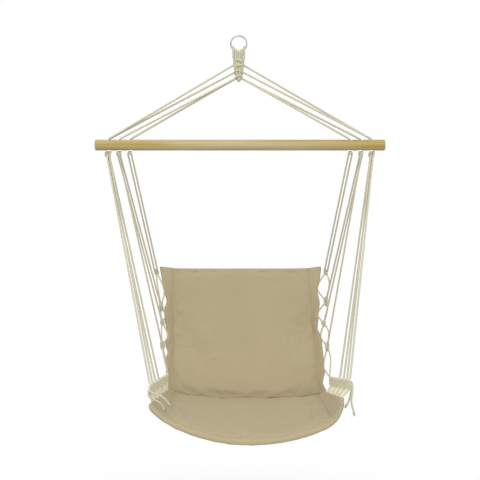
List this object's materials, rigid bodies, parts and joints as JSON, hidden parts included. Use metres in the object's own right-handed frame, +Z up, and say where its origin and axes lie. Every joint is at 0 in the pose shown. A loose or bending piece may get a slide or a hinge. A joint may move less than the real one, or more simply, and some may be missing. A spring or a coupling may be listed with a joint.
{
  "type": "hammock chair",
  "caption": "Hanging hammock chair: a padded canvas seat and back slung by cotton cords from a wooden spreader bar, a plaited clew and a steel ring, with woven arm bands.",
  "frame": {"origin": "inside top of the steel ring, where a hook carries the chair", "axes": "+Z up, -Y the way the sitter looks, +X to the right of someone who faces the chair"},
  "size_m": [0.8, 0.5668, 1.0501],
  "materials": {
    "ring_steel": "polished",
    "bar_pine": "satin",
    "cotton_cord": "matte",
    "sling_canvas": "matte"
  },
  "bodies": {
    "ring": {"hanging_ring": "ring_steel"},
    "upper": {"clew_ring_loops": "cotton_cord", "clew_plait": "cotton_cord", "spreader_bar": "bar_pine", "clew_cord_left_1": "cotton_cord", "clew_cord_left_2": "cotton_cord", "clew_cord_left_3": "cotton_cord", "clew_cord_left_4": "cotton_cord", "clew_cord_right_1": "cotton_cord", "clew_cord_right_2": "cotton_cord", "clew_cord_right_3": "cotton_cord", "clew_cord_right_4": "cotton_cord"},
    "sling": {"bar_knot_left_inner": "cotton_cord", "bar_knot_left_middle": "cotton_cord", "bar_knot_left_outer": "cotton_cord", "bar_knot_right_inner": "cotton_cord", "bar_knot_right_middle": "cotton_cord", "bar_knot_right_outer": "cotton_cord", "hang_cord_left_inner_1": "cotton_cord", "hang_cord_left_inner_2": "cotton_cord", "hang_cord_left_middle_1": "cotton_cord", "hang_cord_left_middle_2": "cotton_cord", "hang_cord_left_middle_3": "cotton_cord", "hang_cord_left_outer_1": "cotton_cord", "hang_cord_left_outer_2": "cotton_cord", "hang_cord_left_outer_3": "cotton_cord", "hang_cord_left_outer_4": "cotton_cord", "hang_cord_right_inner_1": "cotton_cord", "hang_cord_right_inner_2": "cotton_cord", "hang_cord_right_middle_1": "cotton_cord", "hang_cord_right_middle_2": "cotton_cord", "hang_cord_right_middle_3": "cotton_cord", "hang_cord_right_outer_1": "cotton_cord", "hang_cord_right_outer_2": "cotton_cord", "hang_cord_right_outer_3": "cotton_cord", "hang_cord_right_outer_4": "cotton_cord", "back_pad": "sling_canvas", "seat_pad": "sling_canvas", "back_top_hem": "sling_canvas", "seat_front_roll": "sling_canvas", "back_hem_left": "sling_canvas", "seat_hem_left": "sling_canvas", "edge_rope_left": "cotton_cord", "side_lace_left": "cotton_cord", "arm_band_left": "cotton_cord", "back_hem_right": "sling_canvas", "seat_hem_right": "sling_canvas", "edge_rope_right": "cotton_cord", "side_lace_right": "cotton_cord", "arm_band_right": "cotton_cord", "arm_tail_left_1": "cotton_cord", "arm_tail_left_2": "cotton_cord", "arm_tail_right_1": "cotton_cord", "arm_tail_right_2": "cotton_cord"}
  },
  "joints": [
    {"name": "clew_swing", "type": "hinge", "parent": "ring", "child": "upper", "pos_m": [0, 0, -0.042], "axis": [1, 0, 0], "range_deg": [-20, 20]},
    {"name": "sling_swing", "type": "hinge", "parent": "upper", "child": "sling", "pos_m": [0, 0, -0.3], "axis": [1, 0, 0], "range_deg": [-20, 20]}
  ]
}
